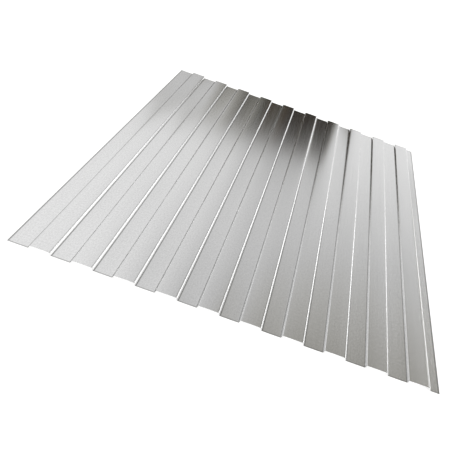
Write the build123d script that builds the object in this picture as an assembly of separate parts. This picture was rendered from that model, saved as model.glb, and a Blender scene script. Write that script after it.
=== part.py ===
"""A profiled steel sheet: one piece of galvanised strip, roll formed with low trapezoidal ribs.

Millimetres, +Z up. The sheet lies flat on its troughs, with the ribs along Y. The origin is on the
underside, in the middle of the sheet's width and length.
"""

from build123d import *
import os

# Stock
SHEET_LENGTH = 2000.0  # cut length, along the ribs
SHEET_THICKNESS = 0.5  # gauge of the strip

# Rolled section, measured along the underside from corner to corner
RIB_COUNT = 10
TROUGH_WIDTH = 53.5  # flat between two ribs, which rests on the supports
CREST_WIDTH = 55.5  # flat on top of a rib
WEB_RUN = 3.0  # how far each steep web reaches across the sheet
RIB_RISE = 8.0  # from a trough to a crest, face to like face
BEND_RADIUS = 1.2  # inside radius of every bend
EDGE_TROUGH_WIDTH = 57.0  # trough along the left edge, before the first rib
LAP_WIDTH = 26.5  # narrow flat past the last rib, which laps under the next sheet

# Widths that follow from the section
RIB_PITCH = TROUGH_WIDTH + CREST_WIDTH + 2 * WEB_RUN
RIBBED_WIDTH = RIB_COUNT * RIB_PITCH - TROUGH_WIDTH
SHEET_WIDTH = EDGE_TROUGH_WIDTH + RIBBED_WIDTH + LAP_WIDTH
LEFT_EDGE = -SHEET_WIDTH / 2
RIGHT_EDGE = SHEET_WIDTH / 2


def rib_corners(index):
    """The four underside corners of one rib: foot, shoulder, shoulder and foot, from left to right."""
    left_foot = LEFT_EDGE + EDGE_TROUGH_WIDTH + index * RIB_PITCH
    left_shoulder = left_foot + WEB_RUN
    right_shoulder = left_shoulder + CREST_WIDTH
    right_foot = right_shoulder + WEB_RUN
    return [
        (left_foot, 0),
        (left_shoulder, RIB_RISE),
        (right_shoulder, RIB_RISE),
        (right_foot, 0),
    ]


def underside_line():
    """The underside of the section, from the left edge to the lap edge, with every bend rounded."""
    corners = [(LEFT_EDGE, 0)]
    for index in range(RIB_COUNT):
        corners += rib_corners(index)
    corners.append((RIGHT_EDGE, 0))

    # The underside is the outside of the bend at a foot, and the inside of the bend at a shoulder
    foot_radius = BEND_RADIUS + SHEET_THICKNESS
    shoulder_radius = BEND_RADIUS
    radii = [foot_radius, shoulder_radius, shoulder_radius, foot_radius] * RIB_COUNT
    return FilletPolyline(*corners, radius=radii)


def profiled_sheet():
    """The section, one gauge thick above its underside, drawn out to the cut length."""
    outline = offset(underside_line(), amount=SHEET_THICKNESS, side=Side.LEFT)
    section = make_face(outline)
    return extrude(Plane.XZ * section, amount=SHEET_LENGTH / 2, both=True)


os.makedirs("parts", exist_ok=True)
sheet = profiled_sheet()
sheet.label = "profiled_sheet"
export_step(sheet, "parts/profiled_sheet.step")
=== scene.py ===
"""Looks of the profiled steel sheet: its rolled form and galvanised finish, a white studio and the camera."""

import bmesh
import bpy
import math
from mathutils import Matrix, Vector
from types import SimpleNamespace


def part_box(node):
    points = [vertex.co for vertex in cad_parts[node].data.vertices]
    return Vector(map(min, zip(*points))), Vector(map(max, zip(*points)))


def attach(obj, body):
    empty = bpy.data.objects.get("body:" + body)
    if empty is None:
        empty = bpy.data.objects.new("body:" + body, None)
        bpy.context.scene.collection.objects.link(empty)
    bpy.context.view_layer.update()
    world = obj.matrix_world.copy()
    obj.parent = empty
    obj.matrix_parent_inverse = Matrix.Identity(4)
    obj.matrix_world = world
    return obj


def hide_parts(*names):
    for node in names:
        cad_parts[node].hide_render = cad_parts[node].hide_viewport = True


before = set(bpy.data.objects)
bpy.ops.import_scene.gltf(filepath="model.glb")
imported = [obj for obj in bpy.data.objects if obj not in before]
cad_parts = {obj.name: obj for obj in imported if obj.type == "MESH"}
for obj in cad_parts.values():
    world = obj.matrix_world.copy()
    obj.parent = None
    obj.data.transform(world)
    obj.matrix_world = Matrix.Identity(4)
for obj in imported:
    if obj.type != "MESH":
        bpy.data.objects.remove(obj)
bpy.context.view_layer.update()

MM = 0.001

# The rolled section, along its underside, as the solid has it
RIB_COUNT = 10
TROUGH_WIDTH = 53.5 * MM
CREST_WIDTH = 55.5 * MM
WEB_RUN = 3.0 * MM
BEND_RADIUS = 1.2 * MM
EDGE_TROUGH_WIDTH = 57.0 * MM
THICKNESS = 0.5 * MM
RIB_WIDTH = CREST_WIDTH + 2 * WEB_RUN
RIB_PITCH = TROUGH_WIDTH + CREST_WIDTH + 2 * WEB_RUN

# Overall places, from the frame
SHEET_LOW, SHEET_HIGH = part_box("profiled_sheet")
LEFT_EDGE, RIGHT_EDGE = SHEET_LOW.x, SHEET_HIGH.x
NEAR_END, FAR_END = SHEET_LOW.y, SHEET_HIGH.y
RIB_RISE = SHEET_HIGH.z - SHEET_LOW.z - THICKNESS

# Rolling leaves the flats a little bowed: crests up in the middle, troughs down
FLAT_BOW = 0.3 * MM

# How finely the section and the length are divided
FLAT_STEPS = 10
WEB_STEPS = 3
BEND_STEPS = 8
LENGTH_STEPS = 40
LEVEL = 1e-6  # a stretch of the section is a flat if its direction rises less than this

# Places of the two finishes in the sheet's list of materials
ZINC_PLACE = 0
STEEL_PLACE = 1

# Painted shade: dark lines in the creases at the feet of the ribs and beside the crest edges. A band says
# where a line starts, is full, falls off and ends, by the distance from the foot of its rib: positive in the
# trough, negative on the web and the crest
FOOT_SHADE = 0.82
RIGHT_FOOT_BAND = (-0.8 * MM, 0.8 * MM, 2.6 * MM, 4.8 * MM)
LEFT_FOOT_BAND = (-0.6 * MM, 0.4 * MM, 1.4 * MM, 2.8 * MM)
RIGHT_CREST_SHADE = 0.5
RIGHT_CREST_BAND = (-6.8 * MM, -5.6 * MM, -5.0 * MM, -4.2 * MM)
LEFT_CREST_SHADE = 0.1
LEFT_CREST_BAND = (-6.4 * MM, -5.2 * MM, -4.8 * MM, -3.9 * MM)
FIRST_LINE = (8.0 * MM, 12.0 * MM)  # no lines nearer to the left edge than this, where no rib stands

# The painted shade lines on the right of the ribs fade out across the sheet, and sooner towards its far end
SHADE_FADE_ACROSS = (50.0 * MM, 330.0 * MM)
SHADE_FADE_SLANT = 0.2

# Painted shade on the right shoulders of the last ribs near the front, dimming their highlights
SHOULDER_SHADE = 0.8
SHOULDER_SHADE_BAND = (-5.2 * MM, -4.4 * MM, -1.0 * MM, 0.0)
SHOULDER_SHADE_ACROSS = (RIGHT_EDGE - 230.0 * MM, RIGHT_EDGE - 50.0 * MM)
SHOULDER_SHADE_ALONG = (NEAR_END + 200.0 * MM, NEAR_END + 800.0 * MM)

# The lap flat is a little darker and duller in its far half
LAP_DARKENING = 0.18
LAP_DARK_BAND = (FAR_END - 900.0 * MM, FAR_END - 650.0 * MM, FAR_END - 400.0 * MM, FAR_END - 150.0 * MM)
LAP_DARK_REACH = (23.0 * MM, 27.0 * MM)  # in from the right edge

# Rims along the long sides darkened by wear and painted shade, and a painted contact shadow along the cut
# ends of the troughs
SIDE_WEAR_AND_SHADE = 0.8
SIDE_REACH = (3.0 * MM, 5.0 * MM)
END_SHADOW = 0.6
END_REACH = (2.0 * MM, 6.0 * MM)
TROUGH_START = (-1.0 * MM, 1.0 * MM)  # from the foot of a rib

# Noise in the finishes: its stretch along X, Y and Z, its scale and its detail
GRAIN = ((1.0, 0.5, 1.0), 230.0, 3.0)
STREAKS = ((1.0, 0.012, 1.0), 160.0, 3.0)
CLOUDS = ((1.0, 0.4, 1.0), 7.0, 2.0)
SHEAR_MARKS = ((1.0, 1.0, 0.1), 900.0, 2.0)
NOISE_ROUGHNESS = 0.6

# Zinc: the share of each noise in its tone, its colours, its roughness and the depth of its relief
GRAIN_SHARE = 0.72
STREAK_SHARE = 0.16
CLOUD_SHARE = 0.12
ZINC_DARK = (0.55, 0.55, 0.55, 1.0)
ZINC_LIGHT = (0.98, 0.98, 0.98, 1.0)
# The colour of painted shade on the zinc, and of wear at its long rims
ZINC_SHADE_AND_WEAR = (0.24, 0.24, 0.235, 1.0)
STREAK_RANGE = (0.2, 0.8)
ZINC_ROUGHNESS = (0.095, 0.125)
DULL_ROUGHNESS = 0.17
STREAK_DEPTH = 0.0015 * MM
GRAIN_DEPTH = 0.002 * MM

# Bare steel on the sheared edges
STEEL_DARK = (0.34, 0.335, 0.33, 1.0)
STEEL_LIGHT = (0.5, 0.495, 0.49, 1.0)
MARK_RANGE = (0.3, 0.7)
STEEL_ROUGHNESS = (0.38, 0.52)
MARK_DEPTH = 0.01 * MM

# Floor
FLOOR_REACH = 40.0
FLOOR_COLOUR = (0.8, 0.8, 0.8, 1.0)
FLOOR_GLOW = 0.6
WHITE = (1.0, 1.0, 1.0, 1.0)

# The studio is drawn by direction. Azimuths are in degrees from +Y, positive to the right, and elevations in
# degrees above level. A pair of them is a soft edge, and a pair of lights is what lies before and past it

# A wall that dims upwards, the ceiling above it, and the bright side on the left
WALL_HEIGHT = (16.0, 33.0)
WALL_LIGHT = (0.92, 0.32)
CEILING_HEIGHT = (40.0, 80.0)
CEILING_LIGHT = 0.75
LEFT_SIDE_BAND = (-150.0, -110.0, -17.0, 9.5)
LEFT_SIDE_LIGHT = 0.97

# A faint shadow on the wall above the board
SHADOW_MIDDLE = 0.3
SHADOW_REACH = 6.0
SHADOW_HEIGHT = (19.0, 27.0)
SHADOW_DEPTH = 0.22

# A board behind the sheet, dark at its right end, brighter to the left up to a limit, and dimmer upwards
BOARD_ENDS = (-7.5, 0.5)
BOARD_POWER = 2.3
BOARD_LIGHT = (0.006, 0.75)
LIMIT_HEIGHT = (15.8, 18.6)
LIMIT_LIGHT = (0.68, 0.57)
SHADE_HEIGHT = (17.0, 18.8)
SHADE_SHARE = (1.04, 0.84)
BOARD_TOP = (18.6, 19.4)
BOARD_TIP = 0.015  # how much its top edge drops per degree to the right
BOARD_LEFT = (-60.0, -40.0)
BOARD_RIGHT = (2.4, 3.8)
BOARD_LEAN = 0.27  # how far its right edge leans to the left per degree upwards
BOARD_LEAN_HEIGHT = 17.7  # the elevation that the right edge's azimuth is given for

# Two bright panels that stand aslant. How far a direction lies aslant, on the right or on the left, is its
# azimuth to that side less a share of its elevation
ASLANT_SHARE = 0.6
PANEL_TOP = (23.5, 31.0)
LEFT_PANEL_START = (3.5, 6.5)
LEFT_PANEL_END = (-90.0, -60.0)
LEFT_PANEL_LIGHT = 0.8
RIGHT_PANEL_START = (3.2, 5.2)
RIGHT_PANEL_END = (34.0, 52.0)
RIGHT_PANEL_EDGE = (6.5, 13.0)
RIGHT_PANEL_LIGHT = (4.6, 1.65)
AHEAD_RANGE = (0.895, 0.958)  # how far a direction points along +Y, from 0 to 1
AHEAD_SHARE = 0.43  # share of the right panel's light that is left straight ahead

# A dim gap between the wall and the right panel
GAP_BAND = (0.6, 1.4, 2.6, 3.6)
GAP_HEIGHT = (16.0, 18.0, 34.0, 38.0)
GAP_SHARE = 0.7
GAP_LIGHT = 0.25

# Dark places low down on both sides
LOW_LIGHT = 0.01
LOW_RIGHT_BAND = (0.0, 4.0, 20.0, 28.0)
LOW_RIGHT_TOP = (3.5, 7.5)
LOW_LEFT_BAND = (-70.0, -50.0, 0.0, 4.0)
LOW_LEFT_AHEAD = (0.911, 0.947)  # how far a direction points along +Y, at the elevation on the next line
LOW_LEFT_HEIGHT = 9.0
LOW_LEFT_SLOPE = 0.003  # how much farther it points per degree above that
LOW_LEFT_TOP = (13.0, 15.5)
LOW_LEFT_SIDE = (2.0, 4.0)

# Dim light is warm, and the darkest is the warmest
DARKEST_RANGE = (0.0, 0.06)
DARKEST_TINT = (1.9, 1.0, 0.15, 1.0)
DIM_RANGE = (0.05, 0.62)
DIM_TINT = (1.05, 1.0, 0.84, 1.0)

# Camera, found from the photograph's rib lines and cut edges. Its lengths in the picture are in pixels
CAMERA_PLACE = Vector((-0.0014, -2.7455, 1.0820))
CAMERA_PITCH = math.radians(25.507)
CAMERA_ROLL = math.radians(19.596)
PICTURE_SIDE = 450.0
FOCAL_LENGTH = 794.2
PRINCIPAL_POINT = Vector((252.1, 234.75))
SENSOR_WIDTH = 36.0  # in millimetres

# Colour sockets of a Mix node go by number, because its other sockets have the same names
MIX_SHARE = 0
MIX_FIRST = 6
MIX_SECOND = 7
MIX_RESULT = 2


def section_corners():
    """Underside corners of the section from left to right, each with the radius of its bend."""
    outside = BEND_RADIUS + THICKNESS
    corners = [(Vector((LEFT_EDGE, 0.0)), 0.0)]
    for index in range(RIB_COUNT):
        left_foot = LEFT_EDGE + EDGE_TROUGH_WIDTH + index * RIB_PITCH
        left_shoulder = left_foot + WEB_RUN
        right_shoulder = left_shoulder + CREST_WIDTH
        right_foot = right_shoulder + WEB_RUN
        corners += [
            (Vector((left_foot, 0.0)), outside),
            (Vector((left_shoulder, RIB_RISE)), BEND_RADIUS),
            (Vector((right_shoulder, RIB_RISE)), BEND_RADIUS),
            (Vector((right_foot, 0.0)), outside),
        ]
    corners.append((Vector((RIGHT_EDGE, 0.0)), 0.0))
    return corners


def upward(direction):
    """The normal on the upper side of a stretch that runs in this direction."""
    return Vector((-direction.y, direction.x))


def section_line():
    """Points along the underside, each with its upward normal: straight runs, and an arc at every bend."""
    corners = section_corners()
    points = []
    start = corners[0][0]
    for index in range(1, len(corners)):
        corner, radius = corners[index]
        run = (corner - corners[index - 1][0]).normalized()
        normal = upward(run)
        if index + 1 < len(corners):
            next_run = (corners[index + 1][0] - corner).normalized()
            turn = math.atan2(run.x * next_run.y - run.y * next_run.x, run.dot(next_run))
        else:
            turn = 0.0
        tangent_point = corner - run * radius * math.tan(abs(turn) / 2)
        steps = FLAT_STEPS if abs(run.y) < LEVEL else WEB_STEPS
        for step in range(steps):
            points.append((start.lerp(tangent_point, step / steps), normal))
        side = math.copysign(radius, turn)
        centre = tangent_point + normal * side
        # The last corner is the right edge, a single point with no bend
        for step in range(BEND_STEPS if turn else 1):
            turned = Matrix.Rotation(turn * step / BEND_STEPS, 2) @ normal
            points.append((centre - turned * side, turned))
        start = centre - Matrix.Rotation(turn, 2) @ normal * side
    return points


def bow(x):
    """How far rolling moves the section up or down at this place across the sheet."""
    from_first_foot = x - LEFT_EDGE - EDGE_TROUGH_WIDTH
    from_foot = from_first_foot % RIB_PITCH
    if from_first_foot < 0 or from_foot > RIB_WIDTH:
        from_middle = (from_first_foot + TROUGH_WIDTH / 2 + RIB_PITCH / 2) % RIB_PITCH - RIB_PITCH / 2
        return FLAT_BOW * (from_middle / TROUGH_WIDTH * 2) ** 2
    from_middle = abs(from_foot - RIB_WIDTH / 2)
    if from_middle < CREST_WIDTH / 2:
        return -FLAT_BOW * (from_middle / CREST_WIDTH * 2) ** 2
    return FLAT_BOW * ((from_middle - CREST_WIDTH / 2) / WEB_RUN * 2 - 1)


def sheet_mesh():
    """The sheet as a closed mesh: both faces of the section, swept from the near end to the far end."""
    bowed = [(point + Vector((0.0, bow(point.x))), normal) for point, normal in section_line()]
    under = [point for point, normal in bowed]
    over = [point + normal * THICKNESS for point, normal in bowed]
    loop = under + over[::-1]
    count = len(loop)
    sides = (len(under) - 1, count - 1)  # where the loop goes around a long edge

    build = bmesh.new()
    rings = []
    for step in range(LENGTH_STEPS + 1):
        y = NEAR_END + (FAR_END - NEAR_END) * step / LENGTH_STEPS
        rings.append([build.verts.new((point.x, y, point.y)) for point in loop])
    for near, far in zip(rings, rings[1:]):
        for a in range(count):
            b = (a + 1) % count
            face = build.faces.new((near[b], near[a], far[a], far[b]))
            face.material_index = STEEL_PLACE if a in sides else ZINC_PLACE
    for ring, flip in ((rings[0], False), (rings[-1], True)):
        for a in range(len(under) - 1):
            quad = [ring[a], ring[a + 1], ring[count - 2 - a], ring[count - 1 - a]]
            face = build.faces.new(quad[::-1] if flip else quad)
            face.material_index = STEEL_PLACE
    for face in build.faces:
        face.smooth = face.material_index == ZINC_PLACE
    for edge in build.edges:
        edge.smooth = all(face.smooth for face in edge.link_faces)
    mesh = bpy.data.meshes.new("rolled_sheet")
    build.to_mesh(mesh)
    build.free()
    return mesh


def add_node(tree, kind, inputs=None, **properties):
    """A new node with its properties set and its inputs filled with values or linked outputs."""
    made = tree.nodes.new(kind)
    for name, value in properties.items():
        setattr(made, name, value)
    for key, value in (inputs or {}).items():
        if isinstance(value, bpy.types.NodeSocket):
            tree.links.new(value, made.inputs[key])
        else:
            made.inputs[key].default_value = value
    return made


def calculate(tree, operation, first, second=0.0):
    """The output of one Math node."""
    return add_node(tree, "ShaderNodeMath", {0: first, 1: second}, operation=operation).outputs[0]


def multiply(tree, first, *others):
    """The product of two or more values."""
    product = first
    for other in others:
        product = calculate(tree, "MULTIPLY", product, other)
    return product


def largest(tree, first, *others):
    """The largest of two or more values."""
    result = first
    for other in others:
        result = calculate(tree, "MAXIMUM", result, other)
    return result


def fade(tree, value, start, end, low=0.0, high=1.0, shape="SMOOTHSTEP"):
    """low up to start, high from end on, and a steady or soft change between them."""
    inputs = {"Value": value, "From Min": start, "From Max": end, "To Min": low, "To Max": high}
    return add_node(tree, "ShaderNodeMapRange", inputs, interpolation_type=shape).outputs["Result"]


def band(tree, value, start, full, falling, end):
    """A soft band: 0 up to start, 1 from full to falling, and 0 again past end."""
    rise = fade(tree, value, start, full)
    fall = fade(tree, value, falling, end, 1.0, 0.0)
    return multiply(tree, rise, fall)


def blend(tree, share, first, second):
    """A number that goes from first to second as share goes from 0 to 1."""
    inputs = {"Factor": share, "A": first, "B": second}
    return add_node(tree, "ShaderNodeMix", inputs, data_type="FLOAT").outputs["Result"]


def mix_colours(tree, share, first, second):
    """A colour that goes from first to second as share goes from 0 to 1."""
    inputs = {MIX_SHARE: share, MIX_FIRST: first, MIX_SECOND: second}
    return add_node(tree, "ShaderNodeMix", inputs, data_type="RGBA").outputs[MIX_RESULT]


def noise(tree, place, stretch, scale, detail):
    """Noise from 0 to 1 around 0.5, finer or coarser along each axis by its stretch."""
    stretched = add_node(tree, "ShaderNodeMapping", {"Vector": place, "Scale": stretch}).outputs["Vector"]
    inputs = {"Vector": stretched, "Scale": scale, "Detail": detail, "Roughness": NOISE_ROUGHNESS}
    return add_node(tree, "ShaderNodeTexNoise", inputs).outputs["Fac"]


def relief(tree, height, depth, below=None):
    """A normal for relief of this depth, on top of the relief below it where there is one."""
    inputs = {"Height": height, "Strength": 1.0, "Distance": depth}
    if below is not None:
        inputs["Normal"] = below
    return add_node(tree, "ShaderNodeBump", inputs).outputs["Normal"]


def metal(name):
    """A new metal, with its node tree, its shader and the places on the object."""
    material = bpy.data.materials.new(name)
    material.use_nodes = True
    tree = material.node_tree
    shader = tree.nodes["Principled BSDF"]
    shader.inputs["Metallic"].default_value = 1.0
    place = add_node(tree, "ShaderNodeTexCoord").outputs["Object"]
    return material, tree, shader, place


def foot_distances(tree, x):
    """How far a place lies into its trough, from the right foot of one rib and the left foot of the next."""
    first_middle = LEFT_EDGE + EDGE_TROUGH_WIDTH - TROUGH_WIDTH / 2
    shifted = calculate(tree, "SUBTRACT", x, first_middle)
    inputs = {0: shifted, 1: RIB_PITCH / 2, 2: -RIB_PITCH / 2}
    from_middle = add_node(tree, "ShaderNodeMath", inputs, operation="WRAP").outputs[0]
    from_right_foot = calculate(tree, "ADD", from_middle, TROUGH_WIDTH / 2)
    from_left_foot = calculate(tree, "SUBTRACT", TROUGH_WIDTH / 2, from_middle)
    return from_right_foot, from_left_foot


def zinc_shade_and_wear(tree, place):
    """How far the zinc is darkened: painted shade by the ribs, a darker lap flat, wear and painted shade at
    the rims.
    """
    axes = add_node(tree, "ShaderNodeSeparateXYZ", {0: place}).outputs
    x, y = axes["X"], axes["Y"]
    from_left = calculate(tree, "SUBTRACT", x, LEFT_EDGE)
    from_right = calculate(tree, "SUBTRACT", RIGHT_EDGE, x)
    from_near = calculate(tree, "SUBTRACT", y, NEAR_END)
    from_far = calculate(tree, "SUBTRACT", FAR_END, y)
    from_right_foot, from_left_foot = foot_distances(tree, x)

    # Painted shade: dark lines along the feet and the crest edges of the ribs
    right_foot = multiply(tree, band(tree, from_right_foot, *RIGHT_FOOT_BAND), FOOT_SHADE)
    right_crest = multiply(tree, band(tree, from_right_foot, *RIGHT_CREST_BAND), RIGHT_CREST_SHADE)
    across = calculate(tree, "ADD", x, multiply(tree, y, SHADE_FADE_SLANT))
    fading_shade = fade(tree, across, *SHADE_FADE_ACROSS, 1.0, 0.0)
    right_lines = multiply(tree, largest(tree, right_foot, right_crest), fading_shade)
    left_foot = multiply(tree, band(tree, from_left_foot, *LEFT_FOOT_BAND), FOOT_SHADE)
    left_crest = multiply(tree, band(tree, from_left_foot, *LEFT_CREST_BAND), LEFT_CREST_SHADE)
    lines = largest(tree, right_lines, left_foot, left_crest)
    lines = multiply(tree, lines, fade(tree, from_left, *FIRST_LINE))

    # Painted shade on the last ribs' right shoulders, and the lap flat darker in its far half
    shoulder_dark = band(tree, from_right_foot, *SHOULDER_SHADE_BAND)
    shoulder_dark = multiply(tree, shoulder_dark, fade(tree, x, *SHOULDER_SHADE_ACROSS), fade(tree, y, *SHOULDER_SHADE_ALONG, SHOULDER_SHADE, 0.0))
    lap_dark = multiply(tree, band(tree, y, *LAP_DARK_BAND), fade(tree, from_right, *LAP_DARK_REACH, LAP_DARKENING, 0.0))

    # Rims: wear and painted shade along the long sides, and a painted contact shadow at the cut ends of the
    # troughs
    from_side = calculate(tree, "MINIMUM", from_left, from_right)
    sides = fade(tree, from_side, *SIDE_REACH, SIDE_WEAR_AND_SHADE, 0.0)
    from_end = calculate(tree, "MINIMUM", from_near, from_far)
    from_foot = calculate(tree, "MINIMUM", from_right_foot, from_left_foot)
    ends = fade(tree, from_end, *END_REACH, END_SHADOW, 0.0)
    ends = multiply(tree, ends, fade(tree, from_foot, *TROUGH_START))
    return largest(tree, lines, shoulder_dark, lap_dark, sides, ends)


def galvanised_steel():
    """Zinc: a soft mirror with faint clouds, rolling streaks, a fine matt grain, and places darkened by
    painted shade and wear.
    """
    material, tree, shader, place = metal("galvanised_steel")
    grain = noise(tree, place, *GRAIN)
    streaks = noise(tree, place, *STREAKS)
    clouds = noise(tree, place, *CLOUDS)
    shade_and_wear = zinc_shade_and_wear(tree, place)

    tone = multiply(tree, grain, GRAIN_SHARE)
    tone = calculate(tree, "ADD", tone, multiply(tree, streaks, STREAK_SHARE))
    tone = calculate(tree, "ADD", tone, multiply(tree, clouds, CLOUD_SHARE))
    zinc = mix_colours(tree, tone, ZINC_DARK, ZINC_LIGHT)
    # Painted shade, and wear at the rims, darken the zinc's colour
    tree.links.new(mix_colours(tree, shade_and_wear, zinc, ZINC_SHADE_AND_WEAR), shader.inputs["Base Color"])

    roughness = fade(tree, streaks, *STREAK_RANGE, *ZINC_ROUGHNESS, "LINEAR")
    tree.links.new(blend(tree, shade_and_wear, roughness, DULL_ROUGHNESS), shader.inputs["Roughness"])

    ripple = relief(tree, streaks, STREAK_DEPTH)
    tree.links.new(relief(tree, grain, GRAIN_DEPTH, ripple), shader.inputs["Normal"])
    return material


def cut_steel():
    """The sheared edge of the strip, where bare steel shows between the zinc faces."""
    material, tree, shader, place = metal("cut_steel")
    marks = noise(tree, place, *SHEAR_MARKS)
    tree.links.new(mix_colours(tree, marks, STEEL_DARK, STEEL_LIGHT), shader.inputs["Base Color"])
    tree.links.new(fade(tree, marks, *MARK_RANGE, *STEEL_ROUGHNESS), shader.inputs["Roughness"])
    tree.links.new(relief(tree, marks, MARK_DEPTH), shader.inputs["Normal"])
    return material


def make_sheet():
    """The visible sheet, which stands for the solid."""
    sheet = bpy.data.objects.new("rolled_sheet", sheet_mesh())
    sheet.data.materials.append(galvanised_steel())
    sheet.data.materials.append(cut_steel())
    bpy.context.scene.collection.objects.link(sheet)
    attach(sheet, "root")
    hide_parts("profiled_sheet")


def make_floor():
    """A wide white studio floor."""
    reach = FLOOR_REACH
    corners = [(-reach, -reach, 0), (reach, -reach, 0), (reach, reach, 0), (-reach, reach, 0)]
    mesh = bpy.data.meshes.new("floor")
    mesh.from_pydata(corners, [], [(0, 1, 2, 3)])
    floor = bpy.data.objects.new("floor", mesh)
    material = bpy.data.materials.new("floor")
    material.use_nodes = True
    shader = material.node_tree.nodes["Principled BSDF"]
    shader.inputs["Base Color"].default_value = FLOOR_COLOUR
    shader.inputs["Roughness"].default_value = 1.0
    shader.inputs["Specular IOR Level"].default_value = 0.0
    shader.inputs["Emission Color"].default_value = WHITE
    shader.inputs["Emission Strength"].default_value = FLOOR_GLOW
    mesh.materials.append(material)
    bpy.context.scene.collection.objects.link(floor)


def sky_directions(tree):
    """A direction's azimuth and elevation, how far it points along +Y, and how far it lies aslant."""
    direction = add_node(tree, "ShaderNodeTexCoord").outputs["Generated"]
    axes = add_node(tree, "ShaderNodeSeparateXYZ", {0: direction}).outputs
    azimuth = calculate(tree, "DEGREES", calculate(tree, "ARCTAN2", axes["X"], axes["Y"]))
    elevation = calculate(tree, "DEGREES", calculate(tree, "ARCSINE", axes["Z"]))
    slope = multiply(tree, elevation, ASLANT_SHARE)
    return SimpleNamespace(
        azimuth=azimuth,
        elevation=elevation,
        ahead=axes["Y"],
        aslant_right=calculate(tree, "SUBTRACT", azimuth, slope),
        aslant_left=calculate(tree, "SUBTRACT", multiply(tree, azimuth, -1.0), slope),
    )


def wall_light(tree, sky):
    """A wall that dims upwards to the ceiling, a bright side on the left, and a shadow above the board."""
    wall = fade(tree, sky.elevation, *WALL_HEIGHT, *WALL_LIGHT, "LINEAR")
    wall = blend(tree, fade(tree, sky.elevation, *CEILING_HEIGHT), wall, CEILING_LIGHT)
    wall = blend(tree, band(tree, sky.azimuth, *LEFT_SIDE_BAND), wall, LEFT_SIDE_LIGHT)
    off_middle = calculate(tree, "ABSOLUTE", calculate(tree, "SUBTRACT", sky.azimuth, SHADOW_MIDDLE))
    shadow = multiply(
        tree,
        fade(tree, off_middle, 0.0, SHADOW_REACH, SHADOW_DEPTH, 0.0),
        fade(tree, sky.elevation, *SHADOW_HEIGHT, 1.0, 0.0),
    )
    return multiply(tree, wall, calculate(tree, "SUBTRACT", 1.0, shadow))


def with_board(tree, sky, light):
    """The light with the board in front of it, low behind the sheet."""
    to_left = fade(tree, sky.azimuth, *BOARD_ENDS, 1.0, 0.0, "LINEAR")
    board = fade(tree, calculate(tree, "POWER", to_left, BOARD_POWER), 0.0, 1.0, *BOARD_LIGHT, "LINEAR")
    board = calculate(tree, "MINIMUM", board, fade(tree, sky.elevation, *LIMIT_HEIGHT, *LIMIT_LIGHT))
    board = multiply(tree, board, fade(tree, sky.elevation, *SHADE_HEIGHT, *SHADE_SHARE))

    tipped = calculate(tree, "ADD", sky.elevation, multiply(tree, sky.azimuth, BOARD_TIP))
    lean = multiply(tree, calculate(tree, "SUBTRACT", sky.elevation, BOARD_LEAN_HEIGHT), BOARD_LEAN)
    leaning = calculate(tree, "ADD", sky.azimuth, lean)
    inside = multiply(
        tree,
        fade(tree, tipped, *BOARD_TOP, 1.0, 0.0),
        fade(tree, sky.azimuth, *BOARD_LEFT),
        fade(tree, leaning, *BOARD_RIGHT, 1.0, 0.0),
    )
    return blend(tree, inside, light, board)


def with_panels(tree, sky, light):
    """The light with the left panel, the dim gap and the right panel in front of it."""
    below_top = fade(tree, sky.elevation, *PANEL_TOP, 1.0, 0.0)
    left_panel = multiply(
        tree,
        fade(tree, sky.aslant_left, *LEFT_PANEL_START),
        fade(tree, sky.azimuth, *LEFT_PANEL_END),
        below_top,
    )
    light = blend(tree, left_panel, light, LEFT_PANEL_LIGHT)

    gap = multiply(
        tree,
        band(tree, sky.aslant_right, *GAP_BAND),
        band(tree, sky.elevation, *GAP_HEIGHT),
        GAP_SHARE,
    )
    light = blend(tree, gap, light, GAP_LIGHT)

    right_panel = multiply(
        tree,
        fade(tree, sky.aslant_right, *RIGHT_PANEL_START),
        fade(tree, sky.azimuth, *RIGHT_PANEL_END, 1.0, 0.0),
        below_top,
    )
    right_light = multiply(
        tree,
        fade(tree, sky.aslant_right, *RIGHT_PANEL_EDGE, *RIGHT_PANEL_LIGHT),
        fade(tree, sky.ahead, *AHEAD_RANGE, 1.0, AHEAD_SHARE),
    )
    return blend(tree, right_panel, light, right_light)


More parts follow.
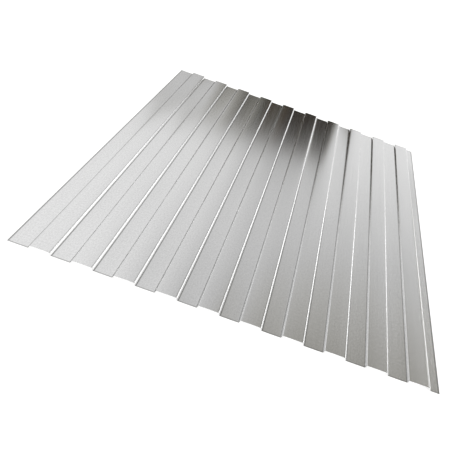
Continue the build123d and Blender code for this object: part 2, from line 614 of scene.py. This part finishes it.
def with_low_dark(tree, sky, light):
    """The light with the dark places low down on both sides, which the webs mirror."""
    right_low = multiply(
        tree,
        band(tree, sky.azimuth, *LOW_RIGHT_BAND),
        fade(tree, sky.elevation, *LOW_RIGHT_TOP, 1.0, 0.0),
    )
    height = calculate(tree, "SUBTRACT", sky.elevation, LOW_LEFT_HEIGHT)
    ahead = calculate(tree, "SUBTRACT", sky.ahead, multiply(tree, height, LOW_LEFT_SLOPE))
    low_or_aside = largest(
        tree,
        fade(tree, sky.elevation, *LOW_LEFT_TOP, 1.0, 0.0),
        fade(tree, sky.aslant_left, *LOW_LEFT_SIDE),
    )
    left_low = multiply(
        tree,
        band(tree, sky.azimuth, *LOW_LEFT_BAND),
        fade(tree, ahead, *LOW_LEFT_AHEAD),
        low_or_aside,
    )
    return blend(tree, calculate(tree, "ADD", right_low, left_low), light, LOW_LIGHT)


def light_colour(tree, light):
    """White for bright light, warm for dim light, and warmest for the darkest."""
    warm = mix_colours(tree, fade(tree, light, *DARKEST_RANGE), DARKEST_TINT, DIM_TINT)
    return mix_colours(tree, fade(tree, light, *DIM_RANGE, 0.0, 1.0, "LINEAR"), warm, WHITE)


def make_studio():
    """What the metal mirrors. To the camera itself, all of it is white."""
    world = bpy.data.worlds.new("studio")
    world.use_nodes = True
    tree = world.node_tree
    sky = sky_directions(tree)
    light = wall_light(tree, sky)
    light = with_board(tree, sky, light)
    light = with_panels(tree, sky, light)
    light = with_low_dark(tree, sky, light)
    seen = add_node(tree, "ShaderNodeLightPath").outputs["Is Camera Ray"]
    light = largest(tree, light, seen)
    background = tree.nodes["Background"]
    tree.links.new(light_colour(tree, light), background.inputs["Color"])
    tree.links.new(light, background.inputs["Strength"])
    bpy.context.scene.world = world


def make_camera():
    """The photograph's camera: level across the ribs, looking down on the sheet, and rolled."""
    data = bpy.data.cameras.new("camera")
    data.sensor_width = SENSOR_WIDTH
    data.lens = FOCAL_LENGTH / PICTURE_SIDE * SENSOR_WIDTH
    centre = Vector((PICTURE_SIDE / 2, PICTURE_SIDE / 2))
    data.shift_x = (centre.x - PRINCIPAL_POINT.x) / PICTURE_SIDE
    data.shift_y = (PRINCIPAL_POINT.y - centre.y) / PICTURE_SIDE
    camera = bpy.data.objects.new("camera", data)
    tilt = Matrix.Rotation(math.pi / 2 - CAMERA_PITCH, 4, "X")
    roll = Matrix.Rotation(CAMERA_ROLL, 4, "Z")
    camera.matrix_world = Matrix.Translation(CAMERA_PLACE) @ tilt @ roll
    bpy.context.scene.collection.objects.link(camera)
    bpy.context.scene.camera = camera


make_sheet()
make_floor()
make_studio()
make_camera()
bpy.context.scene.view_settings.view_transform = "Standard"
